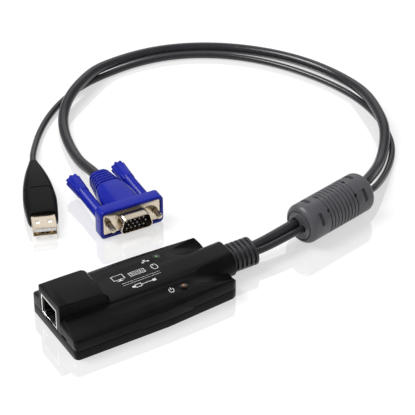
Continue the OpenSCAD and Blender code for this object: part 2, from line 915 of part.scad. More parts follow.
// Ribbed rubber piece that grips both cords and is held by its flange inside the neck
module strain_relief() {
    outside = relief_l - relief_base_t;
    pitch = outside / relief_ribs;
    color(grey_rubber)
        difference() {
            translate([0, 0, relief_z]) {
                translate([cord_start, 0, 0])
                    oblong_bar(relief_neck_r - slip, relief_y, relief_start - cord_start + cut);
                translate([cord_start, 0, 0])
                    oblong_bar(relief_flange_r, relief_y, relief_flange_t);
                translate([relief_start, 0, 0])
                    difference() {
                        oblong_bar(relief_r, relief_y, relief_l);
                        for (i = [0 : relief_ribs - 1])
                            translate([relief_base_t + i * pitch, 0, 0])
                                difference() {
                                    translate([0, -relief_w, -relief_h])
                                        cube([relief_slot_w, 2 * relief_w, 2 * relief_h]);
                                    translate([-cut, 0, 0])
                                        oblong_bar(relief_r - relief_slot_depth, relief_y,
                                            relief_slot_w + 2 * cut);
                                    translate([-cut, -relief_w,
                                            relief_spine_z - relief_z])
                                        cube([relief_slot_w + 2 * cut, 2 * relief_w,
                                            relief_spine_h]);
                                }
                    }
            }
            for (lane = [[video_exit, video_cord_d], [usb_exit, usb_cord_d]])
                translate([cord_start - cut, lane[0][0], lane[0][1]])
                    rotate([0, 90, 0])
                        cylinder(d = lane[1] + 2 * slip, h = body_l);
        }
}

relief_end = relief_start + relief_l;
cord_straight = 6;

// Whole run of a cord: through the strain relief and the sleeve, along its route and into
// its plug, whose tail is at depth tail and grips the cord by cord_grip
function cord_run(exit, lane, route, plug, turn, tail) = concat(
    [[cord_start, exit[0], exit[1]], [relief_end + cord_straight, exit[0], exit[1]]],
    [for (x = [-sleeve_l / 2 - cord_straight, sleeve_l / 2])
        placed(sleeve_c, sleeve_turn, [x, lane[0], lane[1]])],
    route,
    [for (x = [tail + cord_straight, tail, tail - cord_grip])
        placed(plug, turn, [-x, 0, 0])]);

module video_cord() {
    color(grey_rubber)
        tube(cord_run(video_exit, video_lane, video_route, video_at, video_turn, hood_l),
            video_cord_d, 10);
}

module usb_cord() {
    color(grey_rubber)
        tube(cord_run(usb_exit, usb_lane, usb_route, usb_at, usb_turn, usb_l),
            usb_cord_d, 8);
}

// Puts a child that is drawn about the X axis where the sleeve lies
module at_sleeve() {
    translate(sleeve_c)
        rotate([0, 0, sleeve_turn])
            children();
}

// Moulded sleeve round the ferrite: grooved waist, windows at both ends, a ring round the
// disc that the cords pass through
module ferrite_sleeve() {
    r = sleeve_d / 2;
    half = sleeve_l / 2;
    color(grey_rubber)
        at_sleeve()
            difference() {
                rotate([0, 90, 0])
                    rotate_extrude($fn = 96)
                        difference() {
                            union() {
                                translate([0, -half])
                                    square([r - sleeve_round_r, sleeve_l]);
                                translate([0, sleeve_round_r - half])
                                    square([r, sleeve_l - 2 * sleeve_round_r]);
                                for (s = [-1, 1])
                                    translate([r - sleeve_round_r, s * (half - sleeve_round_r)])
                                        circle(sleeve_round_r);
                            }
                            for (i = [0 : sleeve_grooves - 1])
                                translate([r - groove_depth,
                                        (i - (sleeve_grooves - 1) / 2) * groove_pitch
                                            - groove_w / 2])
                                    square([groove_depth + cut, groove_w]);
                            for (s = [-1, 1])
                                translate([sleeve_disc_r, s * half - sleeve_ring_depth])
                                    square([sleeve_ring_w, 2 * sleeve_ring_depth]);
                            translate([-cut, -core_l / 2 - slip])
                                square([r - sleeve_wall + cut, core_l + 2 * slip]);
                        }
                for (e = [-1, 1], s = [-1, 1], a = [0, 180]) {
                    rotate([crown_turn + a + s * window_turn, 0, 0])
                        translate([e * (half - window_inset), 0, r - sleeve_wall + slip]) {
                            translate([-window[0] / 2, (window[0] - window[1]) / 2, 0])
                                cube([window[0], window[1] - window[0], 2 * sleeve_wall]);
                            for (j = [-1, 1])
                                translate([0, j * (window[1] - window[0]) / 2, 0])
                                    cylinder(d = window[0], h = 2 * sleeve_wall);
                        }
                    rotate([crown_turn + a + s * pip_turn, 0, 0])
                        translate([e * (half - pip_inset) - pip / 2, -pip / 2,
                                r - sleeve_wall + slip])
                            cube([pip, pip, 2 * sleeve_wall]);
                }
                for (lane = [[video_lane, video_cord_d], [usb_lane, usb_cord_d]])
                    translate([-sleeve_l, lane[0][0], lane[0][1]])
                        rotate([0, 90, 0])
                            cylinder(d = lane[1] + 2 * slip, h = 2 * sleeve_l);
            }
}

module ferrite_core() {
    color("#3a3a3a")
        at_sleeve()
            translate([-core_l / 2, 0, 0])
                rotate([0, 90, 0])
                    difference() {
                        cylinder(r = sleeve_d / 2 - sleeve_wall - slip, h = core_l, $fn = 96);
                        translate([0, 0, -cut])
                            cylinder(r = core_bore_r, h = core_l + 2 * cut);
                    }
}

// Puts a child that is drawn in a plug's own axes where the plug lies
module at_video_plug() {
    translate(video_at)
        rotate([0, 0, video_turn])
            children();
}

module at_usb_plug() {
    translate(usb_at)
        rotate([0, 0, usb_turn])
            children();
}

// Bar along X from x0 to x1 with the outline that is drawn as its child in Y and Z
module bar_x(x0, x1) {
    translate([x0, 0, 0])
        rotate([90, 0, 90])
            linear_extrude(x1 - x0)
                children();
}

// D outline of the plug's shell, wide side down, drawn in by inset
module d_outline(inset) {
    r = shell_r - inset;
    top = shell_w / 2 - shell_h * tan(shell_slope);
    low_y = shell_r - shell_h / 2;
    high_y = shell_h / 2 - shell_r;
    low_x = shell_w / 2 - shell_r;
    high_x = top - shell_r + shell_r * tan(shell_slope);
    c = [[low_x, low_y], [high_x, high_y]];
    polygon([[-low_x, low_y - r], [low_x, low_y - r],
        [low_x + r * cos(shell_slope), low_y + r * sin(shell_slope)],
        [high_x + r * cos(shell_slope), high_y + r * sin(shell_slope)],
        [high_x, high_y + r], [-high_x, high_y + r],
        [-high_x - r * cos(shell_slope), high_y + r * sin(shell_slope)],
        [-low_x - r * cos(shell_slope), low_y + r * sin(shell_slope)]]);
    for (p = c, s = [-1, 1])
        translate([s * p[0], p[1]])
            circle(r);
}

// Closed skin of oval rings: each entry of rings is [x, half width, half height, squareness]
module loft(rings, n) {
    points = [for (g = rings, k = [0 : n - 1])
        let (a = -360 * (k + 0.5) / n, c = cos(a), s = sin(a))
            [g[0], g[1] * sign(c) * pow(abs(c), g[3]), g[2] * sign(s) * pow(abs(s), g[3])]];
    polyhedron(points, skin_faces(len(rings), n), convexity = 6);
}

// Blue moulding of the video plug: a collar round the flange, and a body that narrows to
// the cord with arched ribs round its tail
module video_hood() {
    length = hood_l - collar_l;
    ribs_l = hood_ribs * hood_rib_pitch;
    plain_l = length - ribs_l;
    places = concat(
        [for (i = [0 : hood_rings - 1]) [plain_l * i / hood_rings, 0]],
        [for (i = [0 : hood_ribs - 1], share = hood_rib_shares)
            [plain_l + (i + share) * hood_rib_pitch, share > 0 && share < 0.5 ? 0 : 1]],
        [[length, 0]]);
    rings = [for (p = places)
        let (t = p[0] / length, ease = t * t * (3 - 2 * t),
            dent = p[0] < plain_l ? 0 : p[1] * hood_rib_depth)
            [-collar_l - p[0] + (p[0] == 0 ? cut : 0),
                hood_base_half + (hood_tail_half - hood_base_half) * ease - dent,
                hood_top_r + (hood_tail_r - hood_top_r) * ease - dent, 0.62]];
    color(blue_plastic)
        at_video_plug()
            difference() {
                union() {
                    bar_x(-collar_l, collar_lip)
                        rounded_rect(collar_w, collar_h, collar_r);
                    loft(rings, 28);
                }
                bar_x(-flange_t - slip, collar_lip + cut)
                    rounded_rect(flange_w + 2 * slip, flange_h + 2 * slip, flange_r);
                bar_x(-insulator_l - slip, cut)
                    rounded_rect(shell_w + 2 * slip, shell_h + 2 * slip, shell_r);
                for (s = [-1, 1])
                    translate([0, s * screw_pitch / 2, 0])
                        rotate([0, -90, 0])
                            cylinder(d = jackscrew_d + 4 * slip, h = hood_l);
                translate([-hood_l - cut, 0, 0])
                    rotate([0, 90, 0])
                        cylinder(d = video_cord_d + 2 * slip, h = cord_grip + cut);
            }
}

// Steel flange with the D shell that stands out of it
module video_shell() {
    color(bright_steel)
        at_video_plug()
            difference() {
                union() {
                    bar_x(-flange_t, 0)
                        rounded_rect(flange_w, flange_h, flange_r - slip);
                    bar_x(-flange_t, shell_out)
                        d_outline(0);
                }
                bar_x(-flange_t - cut, shell_out + cut)
                    d_outline(shell_t);
                for (s = [-1, 1])
                    translate([cut, s * screw_pitch / 2, 0])
                        rotate([0, -90, 0])
                            cylinder(d = jackscrew_d + 4 * slip, h = flange_t + 2 * cut);
            }
}

// Places of the fifteen pins in three rows, less the one that such a plug leaves out
pin_places = [for (row = [-1 : 1], i = [0 : 4])
    if (!(row == 0 && i == 3))
        [(i - 2 + (row == 0 ? 0.5 : 0)) * pin_pitch - pin_pitch / 4, row * pin_row]];

module video_insulator() {
    color(chip_black)
        at_video_plug()
            difference() {
                bar_x(-insulator_l, 0)
                    d_outline(shell_t + slip);
                for (p = pin_places)
                    translate([-insulator_l - cut, p[0], p[1]])
                        rotate([0, 90, 0])
                            cylinder(r = pin_r + slip / 2, h = insulator_l + 2 * cut, $fn = 16);
            }
}

module video_pins() {
    color(gold)
        at_video_plug()
            for (p = pin_places)
                translate([-insulator_l, p[0], p[1]])
                    rotate([0, 90, 0]) {
                        cylinder(r = pin_r, h = insulator_l + pin_out - pin_r, $fn = 16);
                        translate([0, 0, insulator_l + pin_out - pin_r])
                            sphere(pin_r, $fn = 16);
                    }
}

// Smooth stem with a fluted grip at its end, bored for the jackscrew
module thumb_grip(side) {
    stem_start = collar_l + slip;
    color(blue_plastic)
        at_video_plug()
            translate([-stem_start, side * screw_pitch / 2, 0])
                rotate([0, -90, 0])
                    difference() {
                        union() {
                            cylinder(r = stem_r, h = stem_l);
                            translate([0, 0, stem_l])
                                difference() {
                                    cylinder(d1 = grip_neck_d, d2 = grip_d, h = grip_l);
                                    for (i = [0 : flutes - 1])
                                        rotate([0, 0, 360 * i / flutes])
                                            translate([grip_d / 2 + flute_r / 3, 0, -cut])
                                                cylinder(r = flute_r, h = grip_l + 2 * cut);
                                }
                        }
                        translate([0, 0, -cut])
                            cylinder(d = screw_shank_d + slip, h = stem_l + cut);
                    }
}

module left_thumb_grip() {
    thumb_grip(-1);
}

module right_thumb_grip() {
    thumb_grip(1);
}

// Steel screw that runs through the collar: a plain shank, then the threaded end in front
// of the flange, with a bevelled tip
module jackscrew(side) {
    shank_l = collar_l + slip + stem_l + screw_out - screw_tip - screw_thread_l;
    color(bright_steel)
        at_video_plug()
            translate([-collar_l - slip - stem_l, side * screw_pitch / 2, 0])
                rotate([0, 90, 0]) {
                    cylinder(d = screw_shank_d, h = shank_l);
                    translate([0, 0, shank_l]) {
                        cylinder(d = jackscrew_d, h = screw_thread_l);
                        translate([0, 0, screw_thread_l])
                            cylinder(d1 = jackscrew_d, d2 = jackscrew_d - 2 * screw_tip,
                                h = screw_tip);
                    }
                }
}

module left_jackscrew() {
    jackscrew(-1);
}

module right_jackscrew() {
    jackscrew(1);
}

// Black moulding of the A-type plug: a long pointed form whose cheeks reach forward along
// the shell, with a seam round it
module usb_overmould() {
    start = usb_shell_out - usb_cheek;
    len_x = usb_l - start;
    rings = [for (i = [0 : usb_rings])
        let (t = i / usb_rings,
            seam = abs(t - usb_seam_share) < 0.5 / usb_rings ? usb_groove : 0)
            [-start - t * len_x,
                usb_half_w * table(usb_place_shares, usb_width_shares, t) - seam,
                usb_half_h * table(usb_place_shares, usb_height_shares, t) - seam,
                0.72]];
    color(black_plastic)
        at_usb_plug()
            difference() {
                loft(rings, 24);
                translate([-usb_shell_out, -usb_w / 2 - slip, -usb_half_h - cut])
                    cube([usb_l, usb_w + 2 * slip, 2 * usb_half_h + 2 * cut]);
                translate([-usb_shell_out - usb_shell_in - slip, -usb_w / 2 - slip,
                        -usb_h / 2 - slip])
                    cube([usb_l, usb_w + 2 * slip, usb_h + 2 * slip]);
                translate([-usb_shell_out - usb_pad[0] - 2 * usb_pad[2], 0,
                        usb_half_h - usb_pad[2]]) {
                    translate([-usb_pad[0] / 2 + usb_pad[1] / 2, -usb_pad[1] / 2, 0])
                        cube([usb_pad[0] - usb_pad[1], usb_pad[1], usb_half_h]);
                    for (s = [-1, 1])
                        translate([s * (usb_pad[0] - usb_pad[1]) / 2, 0, 0])
                            cylinder(d = usb_pad[1], h = usb_half_h);
                }
                translate([-usb_l - cut, 0, 0])
                    rotate([0, 90, 0])
                        cylinder(d = usb_cord_d + 2 * slip, h = cord_grip + cut);
            }
}

// Folded steel shell, with the two latch windows on each face
module usb_shell() {
    whole = usb_shell_out + usb_shell_in;
    color(bright_steel)
        at_usb_plug()
            difference() {
                translate([-whole, -usb_w / 2, -usb_h / 2])
                    cube([whole, usb_w, usb_h]);
                translate([-whole - cut, usb_shell_t - usb_w / 2, usb_shell_t - usb_h / 2])
                    cube([whole + 2 * cut, usb_w - 2 * usb_shell_t, usb_h - 2 * usb_shell_t]);
                for (s = [-1, 1])
                    translate([-usb_window_x - usb_window[0] / 2,
                            s * usb_window_y - usb_window[1] / 2, -usb_h])
                        cube([usb_window[0], usb_window[1], 2 * usb_h]);
            }
}

// Flat tongue under the shell's upper side
module usb_tongue() {
    whole = usb_shell_out + usb_shell_in;
    setback = 0.4;
    color(cream_plastic)
        at_usb_plug()
            translate([-whole, usb_shell_t + slip - usb_w / 2,
                    usb_h / 2 - usb_shell_t - slip - usb_tongue_t])
                cube([whole - setback, usb_w - 2 * usb_shell_t - 2 * slip, usb_tongue_t]);
}

// Four flat contacts under the tongue, the outer two reaching further forward
module usb_contacts() {
    inner_y = 1;
    outer_y = 3.5;
    setback = 1.2;
    step = 1;
    low = usb_h / 2 - usb_shell_t - slip - usb_tongue_t - usb_contact_t;
    color(gold)
        at_usb_plug()
            for (y = [-outer_y, -inner_y, inner_y, outer_y]) {
                lead = abs(y) > inner_y ? 0 : step;
                translate([-setback - lead - usb_contact_l, y - usb_contact_w / 2, low])
                    cube([usb_contact_l, usb_contact_w, usb_contact_t]);
            }
}

bottom_cover();
top_cover();
cover_screws();
circuit_board();
controller_chip();
video_chip();
crystal();
capacitors();
jack_shield();
jack_insert();
jack_contacts();
online_led();
power_led();
online_light_pipe();
power_light_pipe();
video_header();
usb_header();
video_wires();
usb_wires();
strain_relief();
video_cord();
usb_cord();
ferrite_sleeve();
ferrite_core();
video_hood();
video_shell();
video_insulator();
video_pins();
left_thumb_grip();
right_thumb_grip();
left_jackscrew();
right_jackscrew();
usb_overmould();
usb_shell();
usb_tongue();
usb_contacts();
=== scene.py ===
import json
import math

import bmesh
import bpy
from mathutils import Matrix, Vector


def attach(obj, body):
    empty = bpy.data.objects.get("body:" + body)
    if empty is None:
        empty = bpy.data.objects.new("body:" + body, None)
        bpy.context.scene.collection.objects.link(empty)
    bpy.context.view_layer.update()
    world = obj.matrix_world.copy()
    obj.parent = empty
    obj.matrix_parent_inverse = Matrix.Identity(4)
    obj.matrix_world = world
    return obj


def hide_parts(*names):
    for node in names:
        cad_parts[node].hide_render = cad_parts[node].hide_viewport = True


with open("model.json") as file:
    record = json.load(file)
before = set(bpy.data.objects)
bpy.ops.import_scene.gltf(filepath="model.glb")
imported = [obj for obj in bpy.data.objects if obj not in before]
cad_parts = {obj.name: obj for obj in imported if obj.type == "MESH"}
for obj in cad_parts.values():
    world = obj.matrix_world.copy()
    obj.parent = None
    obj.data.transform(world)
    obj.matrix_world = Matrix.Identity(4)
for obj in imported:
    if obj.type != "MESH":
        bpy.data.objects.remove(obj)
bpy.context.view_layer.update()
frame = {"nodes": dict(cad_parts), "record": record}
nodes = frame["nodes"]
print("frame loaded:", len(nodes), "nodes")

mm = 0.001


# camera, at the photograph's angle
cameraSetup = {
    "place": (-342.7, -637.0, 578.5),
    "lookAt": (65.33, 49.66, 0),
    "sensor": 36,
    "lens": 171.3,
    "farClip": 20,
}


def makeCamera():
    data = bpy.data.cameras.new("camera")
    data.sensor_width = cameraSetup["sensor"]
    data.lens = cameraSetup["lens"]
    data.clip_end = cameraSetup["farClip"]
    camera = bpy.data.objects.new("camera", data)
    bpy.context.collection.objects.link(camera)
    place = Vector(cameraSetup["place"]) * mm
    camera.location = place
    sight = Vector(cameraSetup["lookAt"]) * mm - place
    camera.rotation_euler = sight.to_track_quat("-Z", "Y").to_euler()
    bpy.context.scene.camera = camera


makeCamera()


# where the plugs lie: the middle of each face, its height and the way it points
videoPlug = {"at": (23.8, 52.2, 7.9), "turn": -93}
aPlug = {"at": (-16.2, 67.2, 4.6), "turn": -111}
sleeve = {"at": (110, 6.5, 10.2), "turn": 12}


def placing(spot):
    turn = Matrix.Rotation(math.radians(spot["turn"]), 4, "Z")
    return Matrix.Translation(Vector(spot["at"]) * mm) @ turn


def onPiece(spot, x, y, z):
    return placing(spot) @ (Vector((x, y, z)) * mm)


# both cords, in millimetres: through the strain relief and the sleeve, round the loop
# and into the plug
videoCord = {
    "diameter": 5.6,
    "start": [(38.5, 2.1, 7.1), (60.1, 2.1, 7.1), (66.1, 2.1, 7.1)],
    "lane": (2.4, 0.2),
    "route": [(137.4, 16.2, 9.9), (144.7, 21.8, 8), (152.4, 28.1, 5.2), (160.3, 35.3, 3.7),
              (167.9, 43.4, 4.1), (173.9, 51, 5.7), (178, 58.3, 6.8), (180.8, 65.7, 7.1),
              (183.5, 74.3, 7.1), (185.9, 83.5, 7), (187.6, 93.8, 5.9), (188.4, 104.5, 4),
              (187.2, 117, 2.9), (182.5, 131.1, 2.9), (175.3, 144.7, 2.9), (165.9, 157.1, 2.9),
              (154.6, 168.5, 2.9), (141.6, 178.1, 2.9), (127.2, 185.4, 2.9), (111.8, 189.9, 2.9),
              (96.1, 190.5, 3.2), (83.1, 187.6, 4.6), (73.6, 183.6, 6.5), (65.9, 178.9, 7),
              (59.5, 174.7, 7.1), (53.1, 170.2, 6.9), (46.5, 164.9, 5.6), (40.7, 158.1, 3.8),
              (35.8, 149.4, 2.9), (31.7, 138.5, 2.9), (29, 127, 2.9), (26.9, 115.8, 4),
              (25.6, 105.9, 5.9)],
    "plug": videoPlug,
    "tail": 38,
    "length": 0.491,
    "carries": ["strain_relief", "ferrite_sleeve", "ferrite_core", "video_hood", "video_shell",
                "video_insulator", "video_pins", "left_thumb_grip", "right_thumb_grip",
                "left_jackscrew", "right_jackscrew"],
}
thinCord = {
    "diameter": 3.4,
    "start": [(38.5, -2.9, 7.9), (60.1, -2.9, 7.9), (66.1, -2.9, 7.9)],
    "lane": (-2.7, -0.3),
    "route": [(138.5, 10.7, 8.6), (145.9, 16.2, 6.3), (153.2, 22.3, 3.9), (159.7, 28.4, 2.2),
              (165.5, 33.9, 1.8), (171, 40.1, 1.8), (175.9, 47.6, 1.8), (179.5, 56.3, 1.8),
              (182.5, 65.9, 1.8), (184.4, 76.3, 1.8), (184.9, 86.6, 1.8), (184.1, 97.1, 1.8),
              (181.6, 108.3, 1.8), (178, 119.2, 1.8), (173.2, 130.7, 1.8), (166.9, 142.2, 1.8),
              (159.4, 153, 1.8), (150.8, 162.4, 1.8), (141.1, 170.4, 1.8), (130.2, 176.8, 1.8),
              (118.5, 181.4, 1.8), (106.1, 183.9, 1.8), (93.6, 184.3, 1.8), (81.5, 183.1, 1.8),
              (70, 181.3, 1.8), (59.3, 177.8, 1.8), (49.3, 173, 1.8), (39.9, 166.8, 1.8),
              (31.6, 159.9, 1.8), (24.6, 152.7, 1.8), (18.4, 145.3, 2), (13.3, 137.6, 2.9)],
    "plug": aPlug,
    "tail": 59.6,
    "length": 0.464,
    "carries": ["usb_overmould", "usb_shell", "usb_tongue", "usb_contacts"],
}
# where both cords pass along the sleeve's axis and the plug's end, and how they are drawn
cordRun = {
    "inSleeve": (-28, 22),
    "inPlug": (-6, 0, 6),
    "order": 5,
    "steps": 8,
    "roundness": 7,
}


def makeCord(name, setup):
    inSleeve = [onPiece(sleeve, x, *setup["lane"]) for x in cordRun["inSleeve"]]
    inPlug = [onPiece(setup["plug"], along - setup["tail"], 0, 0) for along in cordRun["inPlug"]]
    points = [Vector(p) * mm for p in setup["start"]] + inSleeve
    points += [Vector(p) * mm for p in setup["route"]] + inPlug
    curve = bpy.data.curves.new(name, "CURVE")
    curve.dimensions = "3D"
    curve.bevel_depth = setup["diameter"] / 2 * mm
    curve.bevel_resolution = cordRun["roundness"]
    curve.resolution_u = cordRun["steps"]
    spline = curve.splines.new("NURBS")
    spline.points.add(len(points) - 1)
    for knot, point in zip(spline.points, points):
        knot.co = (*point, 1)
    spline.order_u = cordRun["order"]
    spline.use_endpoint_u = True
    cord = bpy.data.objects.new(name, curve)
    bpy.context.collection.objects.link(cord)
    return cord


thickCord = makeCord("thick_cord", videoCord)
slimCord = makeCord("thin_cord", thinCord)
print("cords laid")


# numbers that flow through a material: sums on them add Math nodes
class Flow:
    def __init__(self, tree, socket):
        self.tree = tree
        self.socket = socket

    def join(self, operation, first, second):
        node = self.tree.nodes.new("ShaderNodeMath")
        node.operation = operation
        for slot, value in zip(node.inputs, (first, second)):
            if isinstance(value, Flow):
                self.tree.links.new(value.socket, slot)
            else:
                slot.default_value = value
        return Flow(self.tree, node.outputs[0])

    def __add__(self, other):
        return self.join("ADD", self, other)

    def __sub__(self, other):
        return self.join("SUBTRACT", self, other)

    def __mul__(self, other):
        return self.join("MULTIPLY", self, other)


class Finish:
    def __init__(self, name):
        self.material = bpy.data.materials.new(name)
        self.material.use_nodes = True
        self.tree = self.material.node_tree
        self.shader = self.tree.nodes["Principled BSDF"]

    def node(self, kind, settings=None, inputs=None, output=0):
        made = self.tree.nodes.new("ShaderNode" + kind)
        for key, value in (settings or {}).items():
            if key == "stops":
                while len(made.color_ramp.elements) < len(value):
                    made.color_ramp.elements.new(0.5)
                for stop, (place, shade) in zip(made.color_ramp.elements, value):
                    stop.position = place
                    stop.color = (shade, shade, shade, 1)
            else:
                setattr(made, key, value)
        for key, value in (inputs or {}).items():
            self.feed(made.inputs[key], value)
        return Flow(self.tree, made.outputs[output])

    def feed(self, slot, value):
        if isinstance(value, Flow):
            self.tree.links.new(value.socket, slot)
        elif isinstance(value, tuple) and len(value) == 3 and slot.type == "RGBA":
            slot.default_value = (*value, 1)
        else:
            slot.default_value = value

    def set(self, **sockets):
        names = {"colour": "Base Color", "rough": "Roughness", "metal": "Metallic",
                 "level": "Specular IOR Level", "coat": "Coat Weight",
                 "coatRough": "Coat Roughness", "normal": "Normal"}
        for key, value in sockets.items():
            self.feed(self.shader.inputs[names[key]], value)
        return self.material

    def spot(self):
        return self.node("TexCoord", output="Object")

    def noise(self, size, detail=2, rough=0.5, stretch=None):
        where = self.spot()
        if stretch:
            where = self.node("Mapping", {}, {"Vector": where, "Scale": stretch})
        return self.node("TexNoise", {}, {"Vector": where, "Scale": 1 / (size * mm),
                                          "Detail": detail, "Roughness": rough})

    def blend(self, amount, low, high):
        return self.node("Mix", {"data_type": "RGBA"}, {0: amount, 6: low, 7: high}, output=2)

    def softEdge(self, radius):
        return self.node("Bevel", {"samples": 4}, {"Radius": radius * mm})

    def bump(self, height, depth, under=None):
        sockets = {"Height": height, "Distance": depth * mm, "Strength": 1}
        if under:
            sockets["Normal"] = under
        return self.node("Bump", {}, sockets)


# finishes: colour and its lighter variant, gloss and its spread, grain size and depth, edge radius
plasticFinishes = {
    "housing": dict(colour=(0.003, 0.003, 0.0032), worn=(0.0048, 0.0048, 0.005), rough=0.33,
                    spread=0.08, grain=0.28, depth=0.005, edge=0.3, level=0.12),
    "usb_moulding": dict(colour=(0.003, 0.003, 0.0028), worn=(0.0046, 0.0046, 0.0044),
                         rough=0.34, spread=0.08, grain=0.3, depth=0.005, edge=0.3, level=0.1),
    "relief_rubber": dict(colour=(0.026, 0.025, 0.028), worn=(0.038, 0.037, 0.041), rough=0.4,
                          spread=0.1, grain=0.35, depth=0.006, edge=0.2, level=0.45),
    "cord_jacket": dict(colour=(0.018, 0.017, 0.021), worn=(0.024, 0.023, 0.027), rough=0.24,
                        spread=0.06, grain=0.5, depth=0.003, edge=0, level=0.5),
    "sleeve_plastic": dict(colour=(0.07, 0.068, 0.077), worn=(0.088, 0.086, 0.096), rough=0.4,
                           spread=0.08, grain=0.3, depth=0.006, edge=0.25, level=0.45),
    "blue_moulding": dict(colour=(0.004, 0.01, 0.25), worn=(0.006, 0.014, 0.3), rough=0.26,
                          spread=0.08, grain=0.4, depth=0.004, edge=0.25, level=0.24),
    "blue_grips": dict(colour=(0.004, 0.01, 0.26), worn=(0.007, 0.015, 0.32), rough=0.26,
                       spread=0.08, grain=0.4, depth=0.004, edge=0.15, level=0.24),
    "insulators": dict(colour=(0.006, 0.006, 0.007), worn=(0.011, 0.011, 0.012), rough=0.36,
                       spread=0.08, grain=0.3, depth=0.003, edge=0.08, level=0.5),
    "chips": dict(colour=(0.012, 0.012, 0.013), worn=(0.02, 0.02, 0.021), rough=0.5, spread=0.1,
                  grain=0.2, depth=0.004, edge=0.08, level=0.5),
    "board": dict(colour=(0.012, 0.1, 0.03), worn=(0.02, 0.15, 0.05), rough=0.3, spread=0.08,
                  grain=1.2, depth=0.01, edge=0.05, level=0.5),
    "headers": dict(colour=(0.66, 0.62, 0.5), worn=(0.74, 0.71, 0.6), rough=0.45, spread=0.1,
                    grain=0.4, depth=0.004, edge=0.1, level=0.5),
    "red_wire": dict(colour=(0.35, 0.03, 0.025), worn=(0.45, 0.05, 0.04), rough=0.35,
                     spread=0.08, grain=0.5, depth=0.003, edge=0, level=0.5),
    "white_wire": dict(colour=(0.7, 0.7, 0.68), worn=(0.78, 0.78, 0.76), rough=0.35,
                       spread=0.08, grain=0.5, depth=0.003, edge=0, level=0.5),
    "white_nylon": dict(colour=(0.78, 0.78, 0.76), worn=(0.84, 0.84, 0.82), rough=0.4,
                        spread=0.08, grain=0.4, depth=0.003, edge=0.08, level=0.5),
    "ferrite": dict(colour=(0.004, 0.004, 0.004), worn=(0.007, 0.007, 0.007), rough=0.55,
                    spread=0.12, grain=0.15, depth=0.012, edge=0.15, level=0.2),
}


# what all plastics share: the clouds behind their lighter patches, and the grain's own gloss
plasticMix = {
    "cloud": 9,
    "patch": [(0.4, 0), (0.62, 1)],
    "patchShare": 0.6,
    "grainRough": 0.6,
    "grainGloss": 0.06,
}


def plasticFinish(name, setup):
    finish = Finish(name)
    grain = finish.noise(setup["grain"], detail=3, rough=plasticMix["grainRough"])
    cloud = finish.noise(plasticMix["cloud"], detail=3)
    patch = finish.node("ValToRGB", {"stops": plasticMix["patch"]}, {"Fac": cloud})
    soft = finish.softEdge(setup["edge"]) if setup["edge"] else None
    lowest = setup["rough"] - setup["spread"] / 2 - plasticMix["grainGloss"] / 2
    worn = patch * plasticMix["patchShare"]
    finish.set(colour=finish.blend(worn, setup["colour"], setup["worn"]),
               rough=cloud * setup["spread"] + grain * plasticMix["grainGloss"] + lowest,
               level=setup["level"],
               normal=finish.bump(grain, setup["depth"], soft))
    return finish.material


metalFinishes = {
    "plated_shell": dict(colour=(0.82, 0.72, 0.58), shade=(0.68, 0.59, 0.47), rough=0.2,
                         brush=0.1, grain=0.25, depth=0.002, edge=0.12),
    "shield": dict(colour=(0.96, 0.95, 0.92), shade=(0.86, 0.85, 0.82), rough=0.24, brush=0.12,
                   grain=0.3, depth=0.002, edge=0.1),
    "screws": dict(colour=(0.7, 0.62, 0.48), shade=(0.5, 0.43, 0.32), rough=0.22, brush=0.1,
                   grain=0.2, depth=0.002, edge=0.1),
    "bare_metal": dict(colour=(0.8, 0.8, 0.8), shade=(0.68, 0.68, 0.68), rough=0.3, brush=0.1,
                       grain=0.3, depth=0.002, edge=0.1),
    "contacts": dict(colour=(0.9, 0.66, 0.28), shade=(0.8, 0.55, 0.2), rough=0.2, brush=0.08,
                     grain=0.2, depth=0.001, edge=0.04),
}


# what all metals share: clouds between their shades, and streaks along one axis
metalMix = {
    "cloud": 3.5,
    "stretch": (1, 0.12, 1),
    "cloudGloss": 0.08,
    "smoother": 0.09,
}


def metalFinish(name, setup):
    finish = Finish(name)
    cloud = finish.noise(metalMix["cloud"], detail=3)
    streak = finish.noise(setup["grain"], detail=2, stretch=metalMix["stretch"])
    lowest = setup["rough"] - metalMix["smoother"]
    finish.set(colour=finish.blend(cloud, setup["shade"], setup["colour"]),
               metal=1.0,
               rough=cloud * metalMix["cloudGloss"] + streak * setup["brush"] + lowest,
               normal=finish.bump(streak, setup["depth"], finish.softEdge(setup["edge"])))
    return finish.material


# the middle of each lens, the size of its spot of painted glow, its own dark colour and the painted
# glow colour at its middle
lensFinishes = {
    "green_lens": dict(at=(15.3, 12.8), spot=0.75, colour=(0.004, 0.006, 0.004),
                       paintedGlow=(0.1, 0.3, 0.12)),
    "amber_lens": dict(at=(15.3, -12.8), spot=0.75, colour=(0.007, 0.004, 0.003),
                       paintedGlow=(0.42, 0.17, 0.05)),
    # the LEDs take their own green and amber, made lighter at the middle by painted glow
    "green_led": dict(at=(15.3, 12.8), spot=2, colour=(0.05, 0.2, 0.07),
                      paintedGlow=(0.25, 0.7, 0.3)),
    "amber_led": dict(at=(15.3, -12.8), spot=2, colour=(0.25, 0.09, 0.02),
                      paintedGlow=(0.85, 0.4, 0.1)),
}


lensMix = {
    "fade": [(0.1, 1), (0.9, 0)],
    "cloud": 0.7,
    "cloudGloss": 0.1,
    "rough": 0.08,
    "level": 0.3,
    "coat": 0.3,
    "depth": 0.01,
}


def lensFinish(name, setup):
    finish = Finish(name)
    where = finish.spot()
    across, along = (finish.node("SeparateXYZ", {}, {"Vector": where}, output=axis) - middle * mm
                     for axis, middle in zip("XY", setup["at"]))
    away = (across * across + along * along) * (1 / (setup["spot"] * mm) ** 2)
    # painted glow: the colour fades from the painted glow at the lens's middle to its own colour at
    # the rim
    lit = finish.node("ValToRGB", {"stops": lensMix["fade"]}, {"Fac": away})
    cloud = finish.noise(lensMix["cloud"], detail=2)
    finish.set(colour=finish.blend(lit, setup["colour"], setup["paintedGlow"]),
               rough=cloud * lensMix["cloudGloss"] + lensMix["rough"],
               level=lensMix["level"], coat=lensMix["coat"], coatRough=lensMix["rough"],
               normal=finish.bump(cloud, lensMix["depth"]))
    return finish.material


